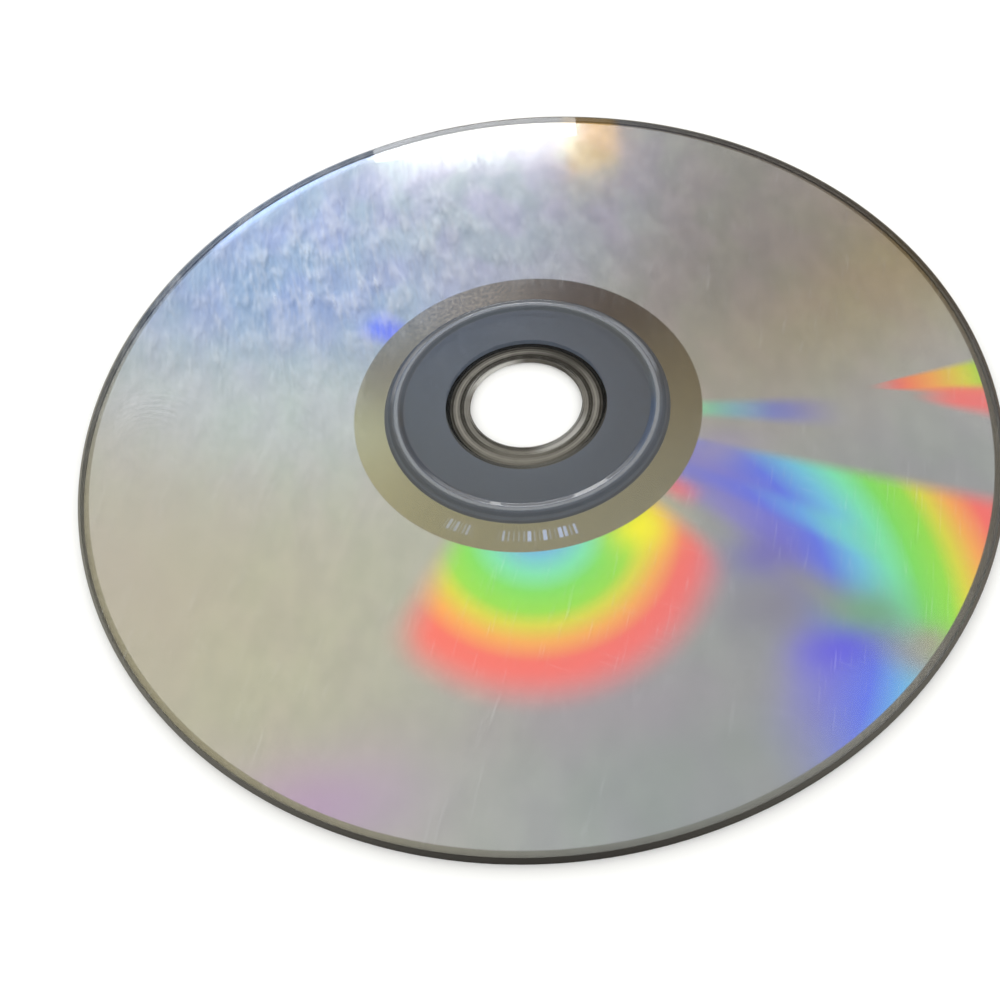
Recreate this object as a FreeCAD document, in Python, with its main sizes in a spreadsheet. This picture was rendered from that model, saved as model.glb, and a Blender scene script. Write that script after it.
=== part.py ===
import FreeCAD, Part
import os
import Sketcher

# An optical disc, 120 mm across, that lies on its printed side with its read side up.
# Origin: on the axis of the centre hole, in the plane that the printed side rests on. +Z points out of the read side.
# All sizes are millimetres.

DRIVING_SIZES = {
    # The moulded disc
    "disc_diameter": 120.0,
    "disc_thickness": 1.2,
    "read_rim_round": 0.3,
    "label_rim_round": 0.15,
    # The centre hole, and the shallow recess round it that keeps the gate's burr below the read face
    "hole_diameter": 15.0,
    "read_hole_bevel": 0.3,
    "label_hole_bevel": 0.1,
    "gate_recess_width": 1.3,
    "gate_recess_depth": 0.06,
    # The raised bead on the read side that keeps stacked discs apart
    "bead_diameter": 34.8,
    "bead_foot_width": 1.9,
    "bead_crest_width": 0.5,
    "bead_height": 0.2,
    "bead_crest_round": 1.0,
    "bead_foot_round": 0.8,
    # The groove that the mould's clamp ring leaves in the label side
    "clamp_groove_diameter": 20.9,
    "clamp_groove_width": 0.5,
    "clamp_groove_flank": 0.15,
    "clamp_groove_depth": 0.15,
    # The mirror film on the label side of the plastic
    "film_inner_diameter": 38.1,
    "film_edge_cover": 0.3,
    "film_thickness": 0.02,
    # The printed lacquer that covers the film and closes round its two edges
    "coat_groove_gap": 0.1,
    "coat_rim_gap": 0.3,
    "coat_thickness": 0.05,
}

# The radii and heights that the sections use. Each follows from the sizes above.
SECTION_SIZES = {
    "disc_radius": "disc_diameter / 2",
    "disc_underside": "coat_thickness",
    "read_face": "disc_thickness",
    "hole_radius": "hole_diameter / 2",
    "gate_recess_radius": "hole_radius + gate_recess_width",
    "gate_recess_face": "disc_thickness - gate_recess_depth",
    "bead_foot_inner_radius": "(bead_diameter - bead_foot_width) / 2",
    "bead_foot_outer_radius": "(bead_diameter + bead_foot_width) / 2",
    "bead_crest_inner_radius": "(bead_diameter - bead_crest_width) / 2",
    "bead_crest_outer_radius": "(bead_diameter + bead_crest_width) / 2",
    "bead_crest_face": "disc_thickness + bead_height",
    "groove_inner_radius": "(clamp_groove_diameter - clamp_groove_width) / 2",
    "groove_outer_radius": "(clamp_groove_diameter + clamp_groove_width) / 2",
    "groove_floor_inner_radius": "groove_inner_radius + clamp_groove_flank",
    "groove_floor_outer_radius": "groove_outer_radius - clamp_groove_flank",
    "groove_floor_face": "coat_thickness + clamp_groove_depth",
    "film_inner_radius": "film_inner_diameter / 2",
    "film_outer_radius": "coat_outer_radius - film_edge_cover",
    "film_underside": "coat_thickness - film_thickness",
    "coat_inner_radius": "groove_outer_radius + coat_groove_gap",
    "coat_outer_radius": "disc_radius - coat_rim_gap",
}

RESTS_AT_ZERO = None
EDGE_MATCH = 1e-6

doc = FreeCAD.newDocument("optical_disc")

sheet = doc.addObject("Spreadsheet::Sheet", "Sizes")
row = 0
for alias, value in list(DRIVING_SIZES.items()) + list(SECTION_SIZES.items()):
    row += 1
    text = value if isinstance(value, str) else repr(value)
    sheet.set(f"A{row}", alias)
    sheet.setAlias(f"B{row}", alias)
    sheet.set(f"B{row}", "=" + text if isinstance(value, str) else text)
doc.recompute()


def size(alias):
    """The number that a cell of the sheet holds."""
    return float(sheet.get(alias))


def new_body(name):
    """One physical piece of the disc, under the name that its file has."""
    body = doc.addObject("PartDesign::Body", name)
    body.Label = name
    body.Placement = FreeCAD.Placement()
    return body


def origin_item(body, role):
    """The body's own origin plane or axis with this role."""
    return next(item for item in body.Origin.OriginFeatures if item.Role == role)


def section_sketch(body, name):
    """An empty sketch in the plane through the disc's axis: across is the radius, up is the height."""
    sketch = body.newObject("Sketcher::SketchObject", name)
    sketch.AttachmentSupport = [(origin_item(body, "XZ_Plane"), "")]
    sketch.MapMode = "FlatFace"
    return sketch


def hold_corner(sketch, line, corner_name, radius_alias, height_alias):
    """Ties the start of a line to its radius and height in the sheet."""
    radius_rule = sketch.addConstraint(Sketcher.Constraint("DistanceX", -1, 1, line, 1, size(radius_alias)))
    sketch.renameConstraint(radius_rule, corner_name + "_radius")
    sketch.setExpression("Constraints." + corner_name + "_radius", "Sizes." + radius_alias)
    if height_alias is RESTS_AT_ZERO:
        sketch.addConstraint(Sketcher.Constraint("PointOnObject", line, 1, -1))
        return
    height_rule = sketch.addConstraint(Sketcher.Constraint("DistanceY", -1, 1, line, 1, size(height_alias)))
    sketch.renameConstraint(height_rule, corner_name + "_height")
    sketch.setExpression("Constraints." + corner_name + "_height", "Sizes." + height_alias)


def straight_section(body, name, corners):
    """A closed section of straight sides. Each corner is a pair of cells: its radius and its height."""
    sketch = section_sketch(body, name)
    points = []
    for radius_alias, height_alias in corners:
        height = 0.0 if height_alias is RESTS_AT_ZERO else size(height_alias)
        points.append(FreeCAD.Vector(size(radius_alias), height, 0))
    count = len(points)
    for i in range(count):
        sketch.addGeometry(Part.LineSegment(points[i], points[(i + 1) % count]), False)
    for i in range(count):
        sketch.addConstraint(Sketcher.Constraint("Coincident", i, 2, (i + 1) % count, 1))
    for i, (radius_alias, height_alias) in enumerate(corners):
        hold_corner(sketch, i, f"corner_{i + 1}", radius_alias, height_alias)
    doc.recompute()
    return sketch


def turned(body, kind, name, sketch):
    """Turns a section once round the disc's axis, as material or as a cut."""
    feature = body.newObject(kind, name)
    feature.Profile = sketch
    feature.ReferenceAxis = (origin_item(body, "Z_Axis"), [""])
    feature.Angle = 360.0
    doc.recompute()
    return feature


def round_edges(shape, radius, height):
    """The names of the shape's circular edges at this radius and height."""
    found = []
    for number, edge in enumerate(shape.Edges, start=1):
        if not isinstance(edge.Curve, Part.Circle):
            continue
        same_radius = abs(edge.Curve.Radius - radius) < EDGE_MATCH
        same_height = abs(edge.Curve.Center.z - height) < EDGE_MATCH
        if same_radius and same_height:
            found.append(f"Edge{number}")
    return found


def broken_edges(body, kind, name, base, property_name, size_alias, places):
    """Rounds or bevels circular edges. Each place is a pair of cells: the edge's radius and its height."""
    edges = []
    for radius_alias, height_alias in places:
        edges += round_edges(base.Shape, size(radius_alias), size(height_alias))
    if len(edges) != len(places):
        raise RuntimeError(f"{name}: {len(edges)} edges found, {len(places)} wanted")
    feature = body.newObject(kind, name)
    feature.Base = (base, edges)
    setattr(feature, property_name, size(size_alias))
    feature.setExpression(property_name, "Sizes." + size_alias)
    doc.recompute()
    return feature


def make_clear_disc():
    """The disc itself: one moulding of clear polycarbonate."""
    body = new_body("clear_disc")
    blank_section = straight_section(body, "blank_section", [
        ("hole_radius", "disc_underside"),
        ("disc_radius", "disc_underside"),
        ("disc_radius", "read_face"),
        ("hole_radius", "read_face"),
    ])
    blank = turned(body, "PartDesign::Revolution", "blank", blank_section)

    recess_section = straight_section(body, "gate_recess_section", [
        ("hole_radius", "gate_recess_face"),
        ("gate_recess_radius", "gate_recess_face"),
        ("gate_recess_radius", "read_face"),
        ("hole_radius", "read_face"),
    ])
    recess = turned(body, "PartDesign::Groove", "gate_recess", recess_section)

    bead_section = straight_section(body, "bead_section", [
        ("bead_foot_inner_radius", "read_face"),
        ("bead_foot_outer_radius", "read_face"),
        ("bead_crest_outer_radius", "bead_crest_face"),
        ("bead_crest_inner_radius", "bead_crest_face"),
    ])
    bead = turned(body, "PartDesign::Revolution", "stacking_bead", bead_section)

    groove_section = straight_section(body, "clamp_groove_section", [
        ("groove_inner_radius", "disc_underside"),
        ("groove_outer_radius", "disc_underside"),
        ("groove_floor_outer_radius", "groove_floor_face"),
        ("groove_floor_inner_radius", "groove_floor_face"),
    ])
    groove = turned(body, "PartDesign::Groove", "clamp_groove", groove_section)

    volumes = [feature.Shape.Volume for feature in (blank, recess, bead, groove)]
    if not (volumes[1] < volumes[0] and volumes[2] > volumes[1] and volumes[3] < volumes[2]):
        raise RuntimeError(f"a cut or the bead had no effect: {volumes}")

    crest = broken_edges(body, "PartDesign::Fillet", "bead_crest", groove, "Radius", "bead_crest_round", [
        ("bead_crest_inner_radius", "bead_crest_face"),
        ("bead_crest_outer_radius", "bead_crest_face"),
    ])
    foot = broken_edges(body, "PartDesign::Fillet", "bead_foot", crest, "Radius", "bead_foot_round", [
        ("bead_foot_inner_radius", "read_face"),
        ("bead_foot_outer_radius", "read_face"),
    ])
    read_rim = broken_edges(body, "PartDesign::Fillet", "read_rim", foot, "Radius", "read_rim_round", [
        ("disc_radius", "read_face"),
    ])
    label_rim = broken_edges(body, "PartDesign::Fillet", "label_rim", read_rim, "Radius", "label_rim_round", [
        ("disc_radius", "disc_underside"),
    ])
    read_bevel = broken_edges(body, "PartDesign::Chamfer", "read_bevel", label_rim, "Size", "read_hole_bevel", [
        ("hole_radius", "gate_recess_face"),
    ])
    broken_edges(body, "PartDesign::Chamfer", "label_bevel", read_bevel, "Size", "label_hole_bevel", [
        ("hole_radius", "disc_underside"),
    ])
    return body


def make_mirror_film():
    """The aluminium film on the label side of the plastic, far thicker here than the real one."""
    body = new_body("mirror_film")
    film_section = straight_section(body, "film_section", [
        ("film_inner_radius", "film_underside"),
        ("film_outer_radius", "film_underside"),
        ("film_outer_radius", "disc_underside"),
        ("film_inner_radius", "disc_underside"),
    ])
    turned(body, "PartDesign::Revolution", "film", film_section)
    return body


def make_label_coat():
    """The printed lacquer: a thin ring with a shallow seat that the film fills."""
    body = new_body("label_coat")
    coat_section = straight_section(body, "coat_section", [
        ("coat_inner_radius", RESTS_AT_ZERO),
        ("coat_outer_radius", RESTS_AT_ZERO),
        ("coat_outer_radius", "disc_underside"),
        ("film_outer_radius", "disc_underside"),
        ("film_outer_radius", "film_underside"),
        ("film_inner_radius", "film_underside"),
        ("film_inner_radius", "disc_underside"),
        ("coat_inner_radius", "disc_underside"),
    ])
    turned(body, "PartDesign::Revolution", "coat", coat_section)
    return body


pieces = [make_clear_disc(), make_mirror_film(), make_label_coat()]
doc.recompute()

for item in doc.Objects:
    if "Invalid" in item.State or "Error" in item.State:
        raise RuntimeError(f"{item.Name} failed: {item.State}")
for piece in pieces:
    if piece.Shape.isNull() or not piece.Shape.isValid() or len(piece.Shape.Solids) != 1:
        raise RuntimeError(f"{piece.Label} has no valid shape")

os.makedirs("parts", exist_ok=True)
for piece in pieces:
    piece.Shape.exportStep(f"parts/{piece.Label}.step")
    box = piece.Shape.optimalBoundingBox(False, False)
    print(f"{piece.Label}: {piece.Shape.Volume:.3f} mm3, z {box.ZMin:.3f} to {box.ZMax:.3f}, x to {box.XMax:.3f}")
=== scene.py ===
import bpy
import math
from mathutils import Matrix, Vector


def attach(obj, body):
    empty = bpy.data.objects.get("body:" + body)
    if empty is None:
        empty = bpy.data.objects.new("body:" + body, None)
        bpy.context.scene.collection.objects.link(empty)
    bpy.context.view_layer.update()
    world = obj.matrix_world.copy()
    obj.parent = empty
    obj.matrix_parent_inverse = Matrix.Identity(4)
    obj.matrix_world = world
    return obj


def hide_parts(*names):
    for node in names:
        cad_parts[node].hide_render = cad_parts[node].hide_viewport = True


# The solid model of the disc comes in first, and each of its three pieces is then dressed in turn.
# The disc lies on the table, printed side down. The middle of its hole is the origin, and Z points up.
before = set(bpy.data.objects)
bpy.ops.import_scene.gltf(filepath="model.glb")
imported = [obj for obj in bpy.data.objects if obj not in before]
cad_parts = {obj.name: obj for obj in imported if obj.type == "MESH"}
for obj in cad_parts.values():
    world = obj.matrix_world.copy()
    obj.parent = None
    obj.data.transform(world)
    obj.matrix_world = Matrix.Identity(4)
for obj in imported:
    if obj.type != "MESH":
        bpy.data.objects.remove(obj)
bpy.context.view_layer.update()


# Clear disc
# One moulding of clear polycarbonate, 120 mm across and 1.2 mm thick. Plastic injected at the centre fills a
# polished mould. The bead on top keeps stacked discs apart, and the mould's clamp ring leaves a groove below.

# Radii, heights and widths are in millimetres.
MM = 0.001
TURN_STEPS = 288
ROUND_STEPS = 6

DISC_RADIUS = 60.0
READ_FACE = 1.2
PLASTIC_UNDERSIDE = 0.05
READ_RIM_ROUND = 0.3
LABEL_RIM_ROUND = 0.15
RIM_FINISH_WIDTH = 0.4

HOLE_RADIUS = 7.5
READ_BEVEL = 0.3
LABEL_BEVEL = 0.1
GATE_RECESS_RADIUS = 8.8
GATE_RECESS_FACE = 1.14
GROOVE_INNER_RADIUS = 10.2
GROOVE_OUTER_RADIUS = 10.7
GROOVE_DEPTH = 0.15

BEAD_RADIUS = 17.4
BEAD_TOP = 1.4
BEAD_HALF_CREST = 0.25
BEAD_HALF_FOOT = 0.95
BEAD_CREST_ROUND = 1.0
BEAD_FOOT_ROUND = 0.8

COAT_INNER_RADIUS = 10.8
COAT_OUTER_RADIUS = 59.7


def rounded_outline(corners):
    """Turns the corners of a closed section into short runs, each with the surface direction at both ends.

    A corner is its radius, its height and the round on it, all in millimetres, with the material to the left.
    A fourth number picks the finish of the side that starts there."""
    points = []
    for i, (radius, height, rounding, *finish) in enumerate(corners):
        place = Vector((radius, height))
        into = (place - Vector(corners[i - 1][:2])).normalized()
        out = (Vector(corners[(i + 1) % len(corners)][:2]) - place).normalized()
        side = finish[0] if finish else 0
        facing_in = Vector((into.y, -into.x))
        facing_out = Vector((out.y, -out.x))
        if rounding == 0:
            points.append((place, facing_in, facing_out, side))
            continue
        turn = into.angle_signed(out)
        reach = rounding * math.tan(abs(turn) / 2)
        first = place - into * reach
        bulge = 1 if into.cross(out) > 0 else -1
        centre = first - facing_in * rounding * bulge
        for step in range(ROUND_STEPS + 1):
            share = step / ROUND_STEPS
            facing = Matrix.Rotation(-turn * share, 2) @ facing_in
            points.append((centre + facing * rounding * bulge, facing, facing, side))
    runs = []
    for i, (start, _, facing_start, side) in enumerate(points):
        facing_end = points[(i + 1) % len(points)][1]
        runs.append((start, facing_start, facing_end, side))
    return runs


def turn_on_lathe(name, corners, finishes):
    """Turns a closed section once round the disc's axis and gives the surface its true directions."""
    runs = rounded_outline(corners)
    points = [run[0] for run in runs]
    count = len(points)
    turns = [(math.cos(a), math.sin(a)) for a in (2 * math.pi * j / TURN_STEPS for j in range(TURN_STEPS))]
    vertices = [(p.x * c * MM, p.x * s * MM, p.y * MM) for c, s in turns for p in points]
    faces, directions = [], []
    for j in range(TURN_STEPS):
        k = (j + 1) % TURN_STEPS
        for i, (_, facing_start, facing_end, _) in enumerate(runs):
            n = (i + 1) % count
            faces.append((j * count + i, k * count + i, k * count + n, j * count + n))
            for turned, facing in ((j, facing_start), (k, facing_start), (k, facing_end), (j, facing_end)):
                c, s = turns[turned]
                directions.append((facing.x * c, facing.x * s, facing.y))
    mesh = bpy.data.meshes.new(name)
    mesh.from_pydata(vertices, [], faces)
    for finish in finishes:
        mesh.materials.append(finish)
    mesh.polygons.foreach_set("material_index", [run[3] for _ in turns for run in runs])
    mesh.shade_smooth()
    mesh.normals_split_custom_set(directions)
    piece = bpy.data.objects.new(name, mesh)
    bpy.context.scene.collection.objects.link(piece)
    return piece


def new_finish(name):
    """An empty finish with its shader, and the place on the disc in millimetres for its nodes to read."""
    finish = bpy.data.materials.new(name)
    finish.use_nodes = True
    tree = finish.node_tree
    shader = tree.nodes["Principled BSDF"]
    place = tree.nodes.new("ShaderNodeTexCoord").outputs["Object"]
    in_mm = tree.nodes.new("ShaderNodeVectorMath")
    in_mm.operation = "SCALE"
    in_mm.inputs["Scale"].default_value = 1 / MM
    tree.links.new(place, in_mm.inputs[0])
    return finish, tree, shader, in_mm.outputs[0]


def feed(tree, socket, value):
    """Sets a socket to a number, a vector or an opaque colour, or joins another node to it."""
    if isinstance(value, bpy.types.NodeSocket):
        tree.links.new(value, socket)
    elif socket.type == "RGBA":
        socket.default_value = (*value, 1)
    else:
        socket.default_value = value


def reckon(tree, operation, *values):
    """One sum, such as ADD or SINE."""
    node = tree.nodes.new("ShaderNodeMath")
    node.operation = operation
    for socket, value in zip(node.inputs, values):
        feed(tree, socket, value)
    return node.outputs[0]


def product(tree, first, *others):
    """Numbers and nodes multiplied with each other."""
    for other in others:
        first = reckon(tree, "MULTIPLY", first, other)
    return first


def reckon_vector(tree, operation, *values):
    """One sum on vectors, such as MULTIPLY or DOT_PRODUCT."""
    node = tree.nodes.new("ShaderNodeVectorMath")
    node.operation = operation
    for socket, value in zip(node.inputs, values):
        feed(tree, socket, value)
    return node.outputs["Value"] if operation in ("DOT_PRODUCT", "LENGTH", "DISTANCE") else node.outputs[0]


def ease(tree, value, start, end, low=0.0, high=1.0):
    """Goes softly from low to high while the value goes from start to end."""
    node = tree.nodes.new("ShaderNodeMapRange")
    node.interpolation_type = "SMOOTHSTEP"
    feed(tree, node.inputs["Value"], value)
    for socket, number in zip(node.inputs[1:5], (start, end, low, high)):
        socket.default_value = number
    return node.outputs["Result"]


def fade_in_and_out(tree, value, enters, leaves):
    """Goes softly from 0 to 1 between the first pair of values, and back to 0 between the second."""
    return product(tree, ease(tree, value, *enters), ease(tree, value, *leaves, 1.0, 0.0))


def mix_colours(tree, share, under, over, blend="MIX"):
    """Lays one colour over another by a share from 0 to 1."""
    node = tree.nodes.new("ShaderNodeMix")
    node.data_type = "RGBA"
    node.blend_type = blend
    feed(tree, node.inputs[0], share)
    feed(tree, node.inputs[6], under)
    feed(tree, node.inputs[7], over)
    return node.outputs[2]


def radius_on_disc(tree, place):
    """How far a point lies from the axis, in millimetres."""
    flat = reckon_vector(tree, "MULTIPLY", place, (1, 1, 0))
    return reckon_vector(tree, "LENGTH", flat)


def angle_on_disc(tree, place, pivot=(0, 0)):
    """The direction of a point from the axis or another pivot, in degrees anticlockwise from +X."""
    away = reckon_vector(tree, "SUBTRACT", place, (*pivot, 0))
    apart = tree.nodes.new("ShaderNodeSeparateXYZ")
    tree.links.new(away, apart.inputs[0])
    return reckon(tree, "DEGREES", reckon(tree, "ARCTAN2", apart.outputs[1], apart.outputs[0]))


def ring_between(tree, radius, inner, outer, soften):
    """1 between two radii, fading to nothing over a short way on both sides."""
    return fade_in_and_out(tree, radius, (inner - soften, inner + soften), (outer - soften, outer + soften))


def round_lines(tree, distance, closeness, shift=0.0):
    """Fine round lines about a middle: a wave from -1 to 1 that runs outwards with the distance from it."""
    return reckon(tree, "SINE", reckon(tree, "MULTIPLY_ADD", distance, closeness, shift))


def speckle(tree, place, across, along=None, turn=0.0, detail=2.0):
    """Cloudy noise with grains this many millimetres across, or drawn out along one direction for wipe marks.

    The turn is that direction in degrees, and the detail is how many layers of finer clouds lie in it."""
    mapping = tree.nodes.new("ShaderNodeMapping")
    mapping.vector_type = "TEXTURE"
    mapping.inputs["Rotation"].default_value = (0, 0, math.radians(turn))
    mapping.inputs["Scale"].default_value = (along or across, across, across)
    tree.links.new(place, mapping.inputs["Vector"])
    noise = tree.nodes.new("ShaderNodeTexNoise")
    noise.inputs["Scale"].default_value = 1.0
    noise.inputs["Detail"].default_value = detail
    tree.links.new(mapping.outputs[0], noise.inputs["Vector"])
    return noise.outputs[0]


def soft_patch(tree, place, centre, reach):
    """1 at the centre, fading to nothing like a breath mark over its reach in X and Y."""
    away = reckon_vector(tree, "SUBTRACT", place, (*centre, 0))
    scaled = reckon_vector(tree, "MULTIPLY", away, (1 / reach[0], 1 / reach[1], 0))
    square = reckon_vector(tree, "DOT_PRODUCT", scaled, scaled)
    return reckon(tree, "EXPONENT", product(tree, square, -1.0))


def lay_patches(tree, place, colour, patches):
    """Lays soft patches over a colour, one after another. Each is its centre, reach, colour and strength."""
    for centre, reach, patch_colour, strength in patches:
        share = product(tree, soft_patch(tree, place, centre, reach), strength)
        colour = mix_colours(tree, share, colour, patch_colour)
    return colour


POLYCARBONATE_IOR = 1.585
CLEAR_TINT = (0.93, 0.96, 1.0)
FLANK_SHADE = (0.22, 0.25, 0.29)
WIPING_DIRECTION = 94
FINGER_MARK_MIDDLE = (-51.5, 2.5)
FINGER_RIDGE_CLOSENESS = 6.5


def clear_plastic():
    """Polished plastic that has been wiped and handled: wipe marks, smudges, a finger mark and hairlines,
    with painted shade on the bead's flanks and a painted highlight on its crest.
    """
    finish, tree, shader, place = new_finish("clear_polycarbonate")
    shader.inputs["IOR"].default_value = POLYCARBONATE_IOR
    radius = radius_on_disc(tree, place)

    # Painted shade on the bead's two flanks, which bend light away and read darker than the face.
    outer_flank = ring_between(tree, radius, BEAD_RADIUS + 0.55, BEAD_RADIUS + 1.10, 0.15)
    inner_flank = ring_between(tree, radius, BEAD_RADIUS - 1.00, BEAD_RADIUS - 0.50, 0.12)
    flanks = reckon(tree, "ADD", product(tree, outer_flank, 0.85), product(tree, inner_flank, 0.70))
    feed(tree, shader.inputs["Base Color"], mix_colours(tree, flanks, CLEAR_TINT, FLANK_SHADE))

    # The veil is the share of all that dulls the face, and it carries a painted highlight along the bead's
    # crest too.
    on_film = ease(tree, radius, 19.0, 25.0, 0.15, 1.0)
    wiped = soft_patch(tree, place, (-26, 33), (34, 26))
    wipes = speckle(tree, place, 0.60, 3.6, WIPING_DIRECTION, 1.0)
    smudges = speckle(tree, place, 2.0, 4.2, WIPING_DIRECTION, 2.0)
    wipes = ease(tree, wipes, 0.38, 0.80, 0.0, 0.14)
    smudges = ease(tree, smudges, 0.42, 0.72, 0.0, 0.20)
    veil_and_sheen = product(tree, wiped, on_film, reckon(tree, "ADD", wipes, smudges))
    for across, length, turn, least, strength in (
        (0.14, 4.0, 68, 0.72, 0.06),
        (0.12, 5.0, -30, 0.76, 0.07),
    ):
        hairlines = speckle(tree, place, across, length, turn, 0.0)
        hairlines = ease(tree, hairlines, least, least + 0.07, 0.0, strength)
        veil_and_sheen = reckon(tree, "ADD", veil_and_sheen, product(tree, hairlines, on_film))
    # A painted highlight: a lighter ring along the bead's crest, added to the veil.
    crest = ring_between(tree, radius, BEAD_RADIUS - BEAD_HALF_CREST, BEAD_RADIUS + BEAD_HALF_CREST, 0.12)
    veil_and_sheen = reckon(tree, "ADD", veil_and_sheen, product(tree, crest, 0.13))
    from_finger = reckon_vector(tree, "DISTANCE", place, (*FINGER_MARK_MIDDLE, READ_FACE))
    ridges = ease(tree, round_lines(tree, from_finger, FINGER_RIDGE_CLOSENESS), -0.4, 1.0, 0.0, 0.09)
    ridges = product(tree, ridges, soft_patch(tree, place, (-50.5, 9.5), (4.6, 3.6)))
    veil_and_sheen = reckon(tree, "ADD", veil_and_sheen, ridges)
    feed(tree, shader.inputs["Transmission Weight"], reckon(tree, "SUBTRACT", 1.0, veil_and_sheen))
    feed(tree, shader.inputs["Roughness"], ease(tree, veil_and_sheen, 0.0, 0.5, 0.0, 0.04))
    return finish


DULL_FACE_IOR = 1.2
DULL_FACE_RING_CLOSENESS = 21.0


def hub_face_plastic():
    """The read face round the hole, where the mould isn't polished: clear too, but with less shine."""
    finish, tree, shader, place = new_finish("duller_hub_face")
    shader.inputs["IOR"].default_value = DULL_FACE_IOR
    shader.inputs["Transmission Weight"].default_value = 1.0
    rings = round_lines(tree, radius_on_disc(tree, place), DULL_FACE_RING_CLOSENESS)
    feed(tree, shader.inputs["Roughness"], ease(tree, rings, -1.0, 1.0, 0.02, 0.07))
    return finish


SMOKY_DARK = (0.040, 0.036, 0.029)
SMOKY_LIGHT = (0.330, 0.312, 0.272)
WIDE_RING_CLOSENESS = 4.72
FINE_RING_CLOSENESS = 17.0
GLINT_COLOUR = (0.66, 0.65, 0.61)
GLINT_DIRECTION = 122


def hub_plastic():
    """The bare plastic round the hole: smoky brown, in moulded rings, with painted light on the near side, a
    painted shadow on the far right and two painted glints.
    """
    finish, tree, shader, place = new_finish("smoky_hub_plastic")
    shader.inputs["Specular IOR Level"].default_value = 0.0
    shader.inputs["Roughness"].default_value = 0.3
    radius = radius_on_disc(tree, place)
    rings = round_lines(tree, radius, WIDE_RING_CLOSENESS, 1.5)
    rings = reckon(tree, "MULTIPLY_ADD", round_lines(tree, radius, FINE_RING_CLOSENESS), 0.45, rings)
    share = ease(tree, reckon(tree, "ADD", rings, speckle(tree, place, 1.1)), -0.6, 1.8)
    # Painted light on the near side of the ring, and a painted shadow on the far right.
    colour = lay_patches(tree, place, mix_colours(tree, share, SMOKY_DARK, SMOKY_LIGHT), (
        ((-2.5, -9.2), (8.0, 4.2), (0.262, 0.246, 0.205), 0.7),
        ((7.5, 7.0), (7.0, 5.0), (0.030, 0.027, 0.022), 0.7),
    ))
    # Painted glints on the hole's edge in two places: on the far left and straight across from there.
    across_light = reckon(tree, "MULTIPLY_ADD", angle_on_disc(tree, place),
                          math.radians(2), math.radians(-2 * GLINT_DIRECTION))
    glints = product(tree, ease(tree, reckon(tree, "COSINE", across_light), 0.1, 1.0),
                     ring_between(tree, radius, 7.0, 8.35, 0.25), ease(tree, rings, -1.0, 0.6, 0.45, 0.9))
    feed(tree, shader.inputs["Base Color"], mix_colours(tree, glints, colour, GLINT_COLOUR))
    return finish


GROOVE_SHADE_DEEP = (0.004, 0.004, 0.004)
GROOVE_SHADE_PALE = (0.013, 0.013, 0.013)


def groove_plastic():
    """The clamp groove in painted shade: its narrow floor and flanks turn light away, so it is painted near
    black, with painted light on the near side.
    """
    finish, tree, shader, place = new_finish("groove_painted_shade")
    shader.inputs["Specular IOR Level"].default_value = 0.0
    shader.inputs["Roughness"].default_value = 0.4
    colour = mix_colours(tree, speckle(tree, place, 0.5), GROOVE_SHADE_DEEP, GROOVE_SHADE_PALE)
    # Painted light on the near side of the groove.
    colour = lay_patches(tree, place, colour, (((1.5, -10.5), (6.0, 3.0), (0.120, 0.112, 0.092), 0.8),))
    feed(tree, shader.inputs["Base Color"], colour)
    return finish


RIM_SHADE_DEEP = (0.17, 0.163, 0.140)
RIM_SHADE_PALE = (0.21, 0.203, 0.175)


def rim_plastic():
    """The rim, where the plastic turns its light inwards, in painted shade: a brown-grey line, darkest on the
    near side, with painted light on the far left.
    """
    finish, tree, shader, place = new_finish("rim_painted_shade")
    shader.inputs["Specular IOR Level"].default_value = 0.0
    grain = speckle(tree, place, 0.8)
    # Painted light on the far left, painted shade on the right and the deepest painted shade on the near
    # side.
    colour = lay_patches(tree, place, mix_colours(tree, grain, RIM_SHADE_DEEP, RIM_SHADE_PALE), (
        ((-34, 50), (26, 22), (0.30, 0.34, 0.40), 1.0),
        ((62, 5), (34, 62), (0.085, 0.070, 0.058), 1.0),
        ((-6, -66), (62, 52), (0.030, 0.028, 0.025), 1.0),
    ))
    feed(tree, shader.inputs["Base Color"], colour)
    feed(tree, shader.inputs["Roughness"], ease(tree, grain, 0.3, 0.7, 0.25, 0.32))
    return finish


def bonded_face():
    """The underside where film and lacquer sit on the plastic with no air between: light goes straight on."""
    finish, tree, shader, place = new_finish("bonded_underside")
    see_through = tree.nodes.new("ShaderNodeBsdfTransparent")
    clearness = mix_colours(tree, speckle(tree, place, 2.0), (0.985, 0.985, 0.985), (1, 1, 1))
    feed(tree, see_through.inputs["Color"], clearness)
    tree.links.new(see_through.outputs[0], tree.nodes["Material Output"].inputs["Surface"])
    tree.nodes.remove(shader)
    return finish


CLEAR, HUB, GROOVE, BONDED, RIM, HUB_FACE = range(6)

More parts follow.
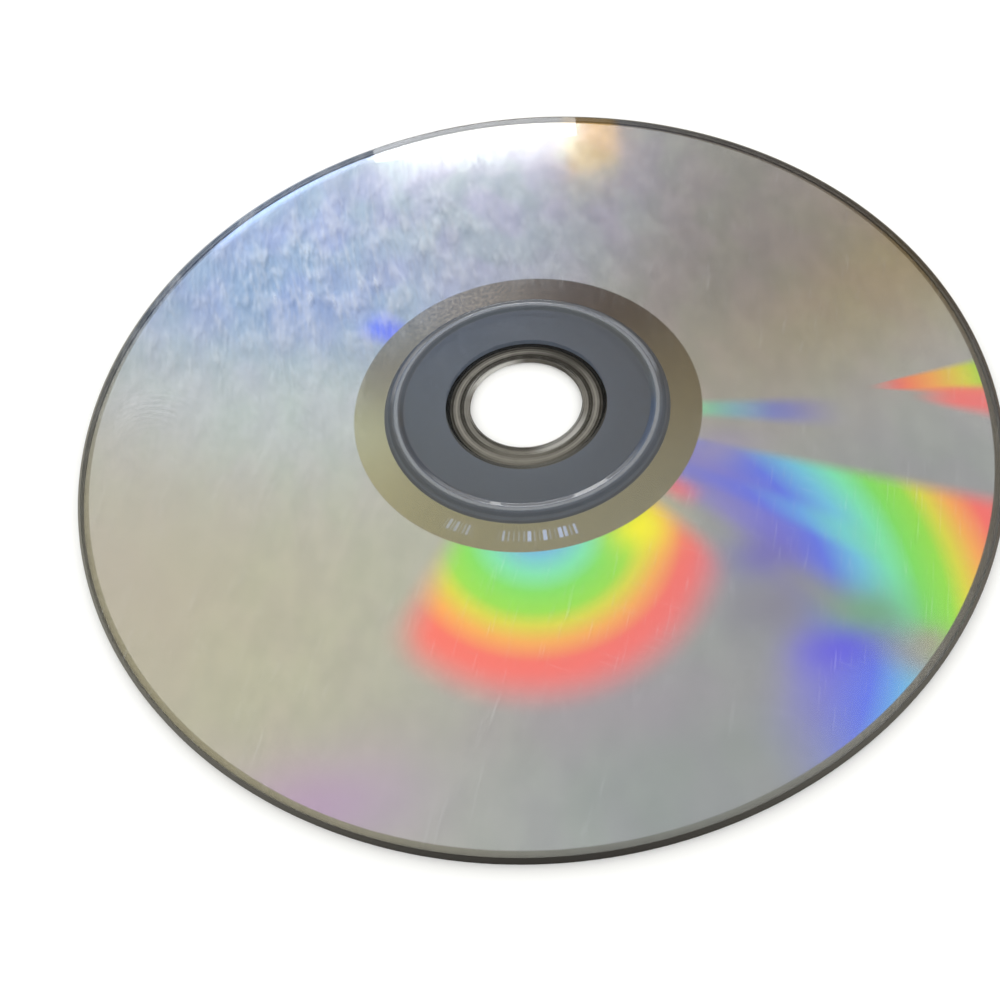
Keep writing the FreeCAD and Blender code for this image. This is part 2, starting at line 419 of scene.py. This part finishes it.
clear_disc = turn_on_lathe("clear_disc_moulding", [
    (HOLE_RADIUS, PLASTIC_UNDERSIDE + LABEL_BEVEL, 0, HUB),
    (HOLE_RADIUS + LABEL_BEVEL, PLASTIC_UNDERSIDE, 0, HUB),
    (GROOVE_INNER_RADIUS, PLASTIC_UNDERSIDE, 0, GROOVE),
    (GROOVE_INNER_RADIUS + GROOVE_DEPTH, PLASTIC_UNDERSIDE + GROOVE_DEPTH, 0, GROOVE),
    (GROOVE_OUTER_RADIUS - GROOVE_DEPTH, PLASTIC_UNDERSIDE + GROOVE_DEPTH, 0, GROOVE),
    (GROOVE_OUTER_RADIUS, PLASTIC_UNDERSIDE, 0, GROOVE),
    (COAT_INNER_RADIUS, PLASTIC_UNDERSIDE, 0, BONDED),
    (COAT_OUTER_RADIUS, PLASTIC_UNDERSIDE, 0, RIM),
    (DISC_RADIUS, PLASTIC_UNDERSIDE, LABEL_RIM_ROUND, RIM),
    (DISC_RADIUS, READ_FACE, READ_RIM_ROUND, RIM),
    (DISC_RADIUS - RIM_FINISH_WIDTH, READ_FACE, 0, CLEAR),
    (BEAD_RADIUS + BEAD_HALF_FOOT, READ_FACE, BEAD_FOOT_ROUND, CLEAR),
    (BEAD_RADIUS + BEAD_HALF_CREST, BEAD_TOP, BEAD_CREST_ROUND, CLEAR),
    (BEAD_RADIUS - BEAD_HALF_CREST, BEAD_TOP, BEAD_CREST_ROUND, CLEAR),
    (BEAD_RADIUS - BEAD_HALF_FOOT, READ_FACE, BEAD_FOOT_ROUND, CLEAR),
    (GROOVE_OUTER_RADIUS, READ_FACE, 0, HUB_FACE),
    (GATE_RECESS_RADIUS, READ_FACE, 0, HUB_FACE),
    (GATE_RECESS_RADIUS, GATE_RECESS_FACE, 0, HUB_FACE),
    (HOLE_RADIUS + READ_BEVEL, GATE_RECESS_FACE, 0, HUB_FACE),
    (HOLE_RADIUS, GATE_RECESS_FACE - READ_BEVEL, 0, HUB),
], [clear_plastic(), hub_plastic(), groove_plastic(), bonded_face(), rim_plastic(), hub_face_plastic()])
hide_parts("clear_disc")
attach(clear_disc, "root")


# Mirror film
# Aluminium, deposited in a vacuum on the label side of the plastic. The spiral of data pits under it splits
# white light into fans of colour. Two plain bands without pits border it, at the hub and at the rim.

FILM_UNDERSIDE = 0.03
FILM_TOP = 0.042
FILM_INNER_RADIUS = 19.05
FILM_OUTER_RADIUS = 59.4
DATA_INNER_RADIUS = 23.15
DATA_OUTER_RADIUS = 58.7
SPECTRUM = (
    (0.00, (0.27, 0.24, 0.52)),
    (0.12, (0.19, 0.18, 0.66)),
    (0.22, (0.11, 0.175, 0.81)),
    (0.33, (0.16, 0.56, 0.76)),
    (0.42, (0.20, 0.80, 0.44)),
    (0.50, (0.22, 0.76, 0.09)),
    (0.58, (0.32, 0.76, 0.04)),
    (0.64, (0.76, 0.70, 0.03)),
    (0.71, (1.00, 0.42, 0.07)),
    (0.79, (1.00, 0.15, 0.12)),
    (1.00, (0.96, 0.18, 0.21)),
)


def rainbow_colours(tree, away, violet, red):
    """The spectrum, from violet at one distance to red at another."""
    hue = tree.nodes.new("ShaderNodeMapRange")
    feed(tree, hue.inputs["Value"], away)
    hue.inputs["From Min"].default_value = violet
    hue.inputs["From Max"].default_value = red
    ramp = tree.nodes.new("ShaderNodeValToRGB")
    for _ in range(len(SPECTRUM) - 2):
        ramp.color_ramp.elements.new(0.5)
    for element, (position, colour) in zip(ramp.color_ramp.elements, SPECTRUM):
        element.position = position
        element.color = (*colour, 1)
    tree.links.new(hue.outputs["Result"], ramp.inputs[0])
    return ramp.outputs[0]


def rainbow_fan(tree, place, under, angle, middle, violet, red, starts, ends, enters, leaves, strength):
    """Lays one painted fan of diffracted light over the metal: rings of hue about a middle, seen between two
    directions.

    Violet and red give the ring of each in millimetres. The pairs give where the fan fades in and out,
    in millimetres from its middle and in degrees."""
    away = reckon_vector(tree, "DISTANCE", place, (*middle, FILM_TOP))
    share = product(tree, fade_in_and_out(tree, away, starts, ends),
                    fade_in_and_out(tree, angle, enters, leaves), strength)
    return mix_colours(tree, share, under, rainbow_colours(tree, away, violet, red))


METAL_DARK = (0.392, 0.392, 0.376)
METAL_LIGHT = (0.500, 0.491, 0.459)
VIOLET_TINT = (1.03, 0.975, 1.05)
GREEN_TINT = (0.97, 1.025, 0.96)
WEDGE_TIP = (42.5, -6.3)


def data_band(tree, place, angle):
    """The metal over the data spiral: clouded by handling and tinted violet and green in soft clouds, with
    patches of painted reflection of the room and painted fans of colour on it.
    """
    cloudy = reckon(tree, "MULTIPLY_ADD", soft_patch(tree, place, (-12, 40), (44, 26)), 0.7, 0.3)
    clouds = ease(tree, speckle(tree, place, 3.5, 6.0, 80, 2.0), 0.32, 0.68, -0.5, 0.5)
    clouds = reckon(tree, "MULTIPLY_ADD", clouds, cloudy, 0.5)
    metal = mix_colours(tree, clouds, METAL_DARK, METAL_LIGHT)
    tints = ease(tree, speckle(tree, place, 7.0, 11.0, 100, 1.0), 0.36, 0.64, -0.5, 0.5)
    tints = reckon(tree, "MULTIPLY_ADD", tints, cloudy, 0.5)
    metal = mix_colours(tree, 1.0, metal, mix_colours(tree, tints, VIOLET_TINT, GREEN_TINT), "MULTIPLY")
    # Patches of painted reflection of the room: darker on the near right and at the near rim, lavender and
    # mauve on the near side, beige on the left.
    metal = lay_patches(tree, place, metal, (
        ((38, -27), (36, 21), (0.0, 0.0, 0.0), 0.30),
        ((12, -55), (28, 20), (0.0, 0.0, 0.0), 0.27),
        ((-31, -50), (12, 6), (0.44, 0.31, 0.54), 0.9),
        ((3, -44), (15, 5), (0.37, 0.29, 0.34), 0.5),
        ((-54, -20), (16, 24), (0.455, 0.413, 0.415), 0.8),
    ))
    wedge_angle = angle_on_disc(tree, place, WEDGE_TIP)
    # The wide arc below the hub, the large fan to its right with a streak in it, the fan at the near right
    # rim, the short one beside the hub, the wedge at the right rim in two parts, and two scraps at the hub.
    for fan in (
        (angle, (-1.5, -20), -6.5, 24.1, (0, 1), (18.5, 24.5), (-126.5, -115.5), (-59, -51), 0.91),
        (angle, (2.4, -31.1), 21, 55.5, (16.5, 22), (60, 70), (-51, -44.5), (-28.2, -24.6), 0.96),
        (angle, (2.4, -31.1), 18, 52, (19, 24), (29, 38), (-42, -39), (-38, -34.5), 0.6),
        (angle, (2.4, -31.1), 23, 66, (20, 26), (60, 70), (-73, -57.5), (-54.5, -49), 0.95),
        (angle, (0, 0), 42, -3, (20, 23), (33, 43), (-18.5, -14.5), (-13, -9), 0.6),
        (wedge_angle, WEDGE_TIP, 50.4, -6.7, (1, 7), (20, 24), (-18, -9), (2, 8), 0.9),
        (wedge_angle, WEDGE_TIP, -70, 30, (6, 13), (20, 24), (-31, -21), (-14, -7), 0.85),
        (angle, (0, 0), 15, 70, (18, 24), (25, 30), (127, 135), (136, 144), 0.8),
        (angle, (0, 0), 5, 28, (18, 23), (24, 28), (-52, -46), (-46, -40), 0.6),
    ):
        metal = rainbow_fan(tree, place, metal, *fan)
    # Where the fans run into each other or thin out, their painted colours are set one by one.
    return lay_patches(tree, place, metal, (
        ((10.8, -21.8), (3.6, 3.4), (1.00, 0.90, 0.01), 0.88),
        ((22.8, -12.0), (5.0, 3.0), (0.37, 0.33, 0.50), 0.7),
        ((24.5, -28.5), (4.5, 3.6), (0.16, 0.125, 0.50), 0.75),
        ((24, -35.5), (6.0, 4.0), (0.245, 0.220, 0.280), 0.8),
        ((34, -38.3), (5.0, 4.0), (0.17, 0.40, 0.17), 0.85),
        ((39, -42.6), (2.8, 2.2), (0.42, 0.31, 0.25), 0.7),
        ((29.8, -41.6), (5.0, 2.6), (0.10, 0.05, 0.78), 0.65),
    ))


STROKE_FEET = (20.0, 20.3)
STROKE_HEADS = (21.5, 21.8)


def bar_marks(tree, radius, angle, first, last, pitch):
    """Plain strokes of uneven width and strength, etched across the hub's band between two directions."""
    count = reckon(tree, "DIVIDE", angle, pitch)
    chance = tree.nodes.new("ShaderNodeTexWhiteNoise")
    chance.noise_dimensions = "1D"
    tree.links.new(reckon(tree, "FLOOR", count), chance.inputs["W"])
    chance = chance.outputs["Value"]
    width = ease(tree, chance, 0.0, 1.0, 0.12, 0.42)
    off_middle = reckon(tree, "ABSOLUTE", reckon(tree, "SUBTRACT", reckon(tree, "FRACT", count), 0.5))
    stroke = ease(tree, reckon(tree, "SUBTRACT", off_middle, width), -0.10, 0.06, 1.0, 0.0)
    strength = ease(tree, chance, 0.1, 0.9, 0.3, 0.9)
    here = fade_in_and_out(tree, angle, (first - 0.4, first + 0.4), (last - 0.4, last + 0.4))
    across = fade_in_and_out(tree, radius, STROKE_FEET, STROKE_HEADS)
    return product(tree, stroke, strength, here, across)


BAND_REFLECTION_BROWN = (0.241, 0.219, 0.138)
OUTER_BAND_REFLECTION_BROWN = (0.262, 0.242, 0.200)
BETWEEN_THE_BANDS = (40.0, 50.0)
BAND_EDGE_SHADE = (0.05, 0.045, 0.035)
MOTTLE_DARK = (0.66, 0.60, 0.56)
MOTTLE_LIGHT = (1.40, 1.30, 1.22)
STROKE_COLOUR = (0.42, 0.48, 0.66)


def plain_bands(tree, place, radius, angle):
    """The metal of the two bands without data: painted browner as a dim reflection of the room, finely
    mottled on the far side, and with strokes.
    """
    # The bands' brown is a painted dim reflection of the room, lighter on the left. The patches are painted
    # reflection as well: darker on the right and at the near rim, varied tones beside the hub, pale blue
    # where the far left rim is lit.
    band = lay_patches(tree, place, BAND_REFLECTION_BROWN, (((-22, -2), (8, 14), (0.357, 0.330, 0.200), 1.0),))
    band = mix_colours(tree, ease(tree, radius, *BETWEEN_THE_BANDS), band, OUTER_BAND_REFLECTION_BROWN)
    band = lay_patches(tree, place, band, (
        ((10, 17), (19, 17), (0.080, 0.057, 0.042), 1.0),
        ((55, -24), (32, 44), (0.094, 0.076, 0.050), 1.0),
        ((2, -64), (40, 20), (0.170, 0.158, 0.135), 1.0),
        ((-27, 53), (14, 9), (0.62, 0.67, 0.74), 1.0),
        ((-18.5, 10), (6, 7), (0.190, 0.152, 0.103), 0.8),
        ((-8, 20.5), (11, 8), (0.292, 0.243, 0.170), 1.0),
    ))
    mottle = ease(tree, speckle(tree, place, 0.5), 0.30, 0.70)
    mottle = mix_colours(tree, mottle, MOTTLE_DARK, MOTTLE_LIGHT)
    mottled = reckon(tree, "MULTIPLY_ADD", soft_patch(tree, place, (-8, 19), (16, 11)), 0.6, 0.12)
    band = mix_colours(tree, mottled, band, mottle, "MULTIPLY")
    # A painted shade line along the film's outer edge, fading away where the far left rim is painted lit.
    lit = soft_patch(tree, place, (-30, 50), (24, 20))
    edge = product(tree, ease(tree, radius, 58.9, 59.5, 0.0, 0.35), ease(tree, lit, 0.0, 0.5, 1.0, 0.1))
    band = mix_colours(tree, edge, band, BAND_EDGE_SHADE)
    clear_strokes = bar_marks(tree, radius, angle, -107.5, -81, 1.75)
    faint_strokes = product(tree, bar_marks(tree, radius, angle, -127, -117, 1.4), 0.5)
    return mix_colours(tree, reckon(tree, "ADD", clear_strokes, faint_strokes), band, STROKE_COLOUR)


WINDOW_HIGHLIGHT_WHITE = (0.90, 0.95, 1.0)


def mirror_metal():
    """Bright metal with painted fans of the data spiral's colours, painted browner in the two plain bands as
    a dim reflection, and a painted highlight on the far left edge.
    """
    finish, tree, shader, place = new_finish("mirror_aluminium")
    shader.inputs["Metallic"].default_value = 1.0
    radius = radius_on_disc(tree, place)
    angle = angle_on_disc(tree, place)
    in_data = ring_between(tree, radius, DATA_INNER_RADIUS, DATA_OUTER_RADIUS, 0.1)
    bands = plain_bands(tree, place, radius, angle)
    colour = mix_colours(tree, in_data, bands, data_band(tree, place, angle))
    # A painted highlight: the far left edge is lit white and a little blue.
    crescent_highlight = product(tree, fade_in_and_out(tree, angle, (103, 116), (131, 140)),
                       ease(tree, radius, 57.2, 58.6, 0.0, 0.85))
    feed(tree, shader.inputs["Base Color"], mix_colours(tree, crescent_highlight, colour, WINDOW_HIGHLIGHT_WHITE))
    feed(tree, shader.inputs["Roughness"], ease(tree, in_data, 0.0, 1.0, 0.05, 0.08))
    return finish


mirror_film = turn_on_lathe("mirror_film_layer", [
    (FILM_INNER_RADIUS, FILM_UNDERSIDE, 0),
    (FILM_OUTER_RADIUS, FILM_UNDERSIDE, 0),
    (FILM_OUTER_RADIUS, FILM_TOP, 0),
    (FILM_INNER_RADIUS, FILM_TOP, 0),
], [mirror_metal()])
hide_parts("mirror_film")
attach(mirror_film, "root")


# Label coat
# Clear lacquer spun over the film and closed round its edges, then printed all over in slate grey.
# Its print shows through the plastic between the clamp groove and the film, and it is what the disc lies on.

COAT_TOP = 0.042
SEAT_FLOOR = FILM_UNDERSIDE - 0.002
SEAT_INNER_RADIUS = FILM_INNER_RADIUS - 0.01
SEAT_OUTER_RADIUS = FILM_OUTER_RADIUS + 0.01
SLATE_DARK = (0.057, 0.075, 0.107)
SLATE_LIGHT = (0.069, 0.091, 0.127)
BESIDE_FILM_SHADE = (0.012, 0.015, 0.020)
PALE_LACQUER = (0.185, 0.168, 0.138)
PRINT_LINE_CLOSENESS = 8.5


def slate_print():
    """Slate-grey print in satin lacquer: faint round lines, painted shade beside the film, pale at the rim
    with painted light on the far left.
    """
    finish, tree, shader, place = new_finish("slate_print")
    shader.inputs["Roughness"].default_value = 0.4
    radius = radius_on_disc(tree, place)
    lines = round_lines(tree, radius, PRINT_LINE_CLOSENESS)
    lines = product(tree, lines, 0.25, soft_patch(tree, place, (2, -14), (14, 7)))
    grain = reckon(tree, "ADD", speckle(tree, place, 0.7), lines)
    colour = mix_colours(tree, grain, SLATE_DARK, SLATE_LIGHT)
    # Painted shade in a ring beside the film's inner edge.
    beside_film_shade = product(tree, ring_between(tree, radius, 18.65, 19.2, 0.15), 0.7)
    colour = mix_colours(tree, beside_film_shade, colour, BESIDE_FILM_SHADE)
    # Painted light where the far left rim is lit.
    edge = lay_patches(tree, place, PALE_LACQUER, (((-34, 50), (26, 22), (0.40, 0.45, 0.52), 1.0),))
    colour = mix_colours(tree, ease(tree, radius, 59.25, 59.35), colour, edge)
    feed(tree, shader.inputs["Base Color"], colour)
    return finish


label_coat = turn_on_lathe("label_print_coat", [
    (COAT_INNER_RADIUS, 0.0, 0),
    (COAT_OUTER_RADIUS, 0.0, 0),
    (COAT_OUTER_RADIUS, COAT_TOP, 0),
    (SEAT_OUTER_RADIUS, COAT_TOP, 0),
    (SEAT_OUTER_RADIUS, SEAT_FLOOR, 0),
    (SEAT_INNER_RADIUS, SEAT_FLOOR, 0),
    (SEAT_INNER_RADIUS, COAT_TOP, 0),
    (COAT_INNER_RADIUS, COAT_TOP, 0),
], [slate_print()])
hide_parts("label_coat")
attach(label_coat, "root")


# Table, light and camera
# A plain pale table top under soft light from all round, as in a light tent. The tent's soft patches of tone
# are what the mirror shows, and a panel beyond the far rim stands for a window.

# Sizes and places in this section are in metres.
TABLE_REACH = 3
TABLE_DROP = 0.00002
TABLE_DARK = (0.86, 0.86, 0.85)
TABLE_LIGHT = (0.88, 0.88, 0.87)

table_mesh = bpy.data.meshes.new("table_top")
table_corners = [(TABLE_REACH * x, TABLE_REACH * y, 0) for x, y in ((-1, -1), (1, -1), (1, 1), (-1, 1))]
table_mesh.from_pydata(table_corners, [], [(0, 1, 2, 3)])
table = bpy.data.objects.new("table_top", table_mesh)
bpy.context.scene.collection.objects.link(table)
table.location.z = -TABLE_DROP
table_finish, table_tree, table_shader, table_place = new_finish("pale_table")
table_shader.inputs["Roughness"].default_value = 0.6
table_colour = mix_colours(table_tree, speckle(table_tree, table_place, 50), TABLE_DARK, TABLE_LIGHT)
feed(table_tree, table_shader.inputs["Base Color"], table_colour)
table.data.materials.append(table_finish)

WALL_GREY = (0.82, 0.82, 0.82)
WARM_SPOT_COLOUR = (1.55, 1.02, 0.42)
LOW_LIGHT_COLOUR = (1.8, 1.8, 1.8)
ROOM_STRENGTH = 1.34

scene = bpy.context.scene
scene.view_settings.view_transform = "Standard"
room = bpy.data.worlds.new("soft_room")
scene.world = room
room.use_nodes = True
walls = room.node_tree
towards = walls.nodes.new("ShaderNodeTexCoord").outputs["Generated"]
# A patch of the room lies in a direction: its centre and reach are that direction's X and Y.
wall_colour = lay_patches(walls, towards, WALL_GREY, (
    ((-0.25, 0.46), (0.32, 0.30), (0.87, 0.83, 0.61), 1.0),
    ((-0.17, 0.76), (0.20, 0.11), (0.68, 0.87, 1.30), 1.0),
    ((-0.16, 0.712), (0.15, 0.030), (0.38, 0.61, 1.12), 0.8),
    ((-0.19, 0.645), (0.12, 0.040), (0.90, 1.00, 0.96), 0.8),
    ((0.36, 0.64), (0.22, 0.10), (0.55, 0.385, 0.14), 1.0),
    ((0.24, 0.72), (0.15, 0.095), (0.42, 0.38, 0.36), 0.9),
    ((0.26, 0.678), (0.12, 0.018), (0.36, 0.31, 0.30), 0.6),
    ((0.34, 0.48), (0.22, 0.12), (0.72, 0.73, 0.72), 1.0),
    ((0.10, 0.28), (0.22, 0.16), (0.73, 0.77, 0.76), 1.0),
    ((0.05, 0.76), (0.10, 0.05), (0.62, 0.68, 0.90), 0.9),
    ((0.125, 0.752), (0.045, 0.028), (0.50, 0.50, 0.64), 0.85),
))
apart = walls.nodes.new("ShaderNodeSeparateXYZ")
walls.links.new(towards, apart.inputs[0])
sideways, ahead, height = apart.outputs
warm_spot = product(walls, fade_in_and_out(walls, sideways, (0.103, 0.113), (0.148, 0.160)),
                    fade_in_and_out(walls, ahead, (0.764, 0.776), (0.802, 0.815)))
wall_colour = mix_colours(walls, warm_spot, wall_colour, WARM_SPOT_COLOUR)
low_light = fade_in_and_out(walls, height, (0.30, 0.36), (0.50, 0.56))
wall_colour = mix_colours(walls, low_light, wall_colour, LOW_LIGHT_COLOUR)
walls.links.new(wall_colour, walls.nodes["Background"].inputs["Color"])
walls.nodes["Background"].inputs["Strength"].default_value = ROOM_STRENGTH

WINDOW_PLACE = Vector((0.045, 1.33, 0.79))
WINDOW_AIM = Vector((0, 0.05, 0))

window_light = bpy.data.lights.new("window_panel", "AREA")
window_light.shape = "RECTANGLE"
window_light.size, window_light.size_y = 0.31, 0.29
window_light.energy = 1.2
window_panel = bpy.data.objects.new("window_panel", window_light)
window_panel.location = WINDOW_PLACE
window_panel.rotation_euler = (WINDOW_AIM - WINDOW_PLACE).to_track_quat("-Z", "Y").to_euler()
scene.collection.objects.link(window_panel)

CAMERA_TILT = math.radians(34.37)
CAMERA_ROLL = math.radians(-9.06)

camera = bpy.data.objects.new("camera", bpy.data.cameras.new("camera"))
camera.data.sensor_width = 36
camera.data.lens = 37.88
camera.data.clip_start = 0.01
camera.location = (-0.00544, -0.08919, 0.10937)
camera_turn = Matrix.Rotation(CAMERA_TILT, 3, "X") @ Matrix.Rotation(CAMERA_ROLL, 3, "Z")
camera.rotation_euler = camera_turn.to_euler()
scene.collection.objects.link(camera)
scene.camera = camera
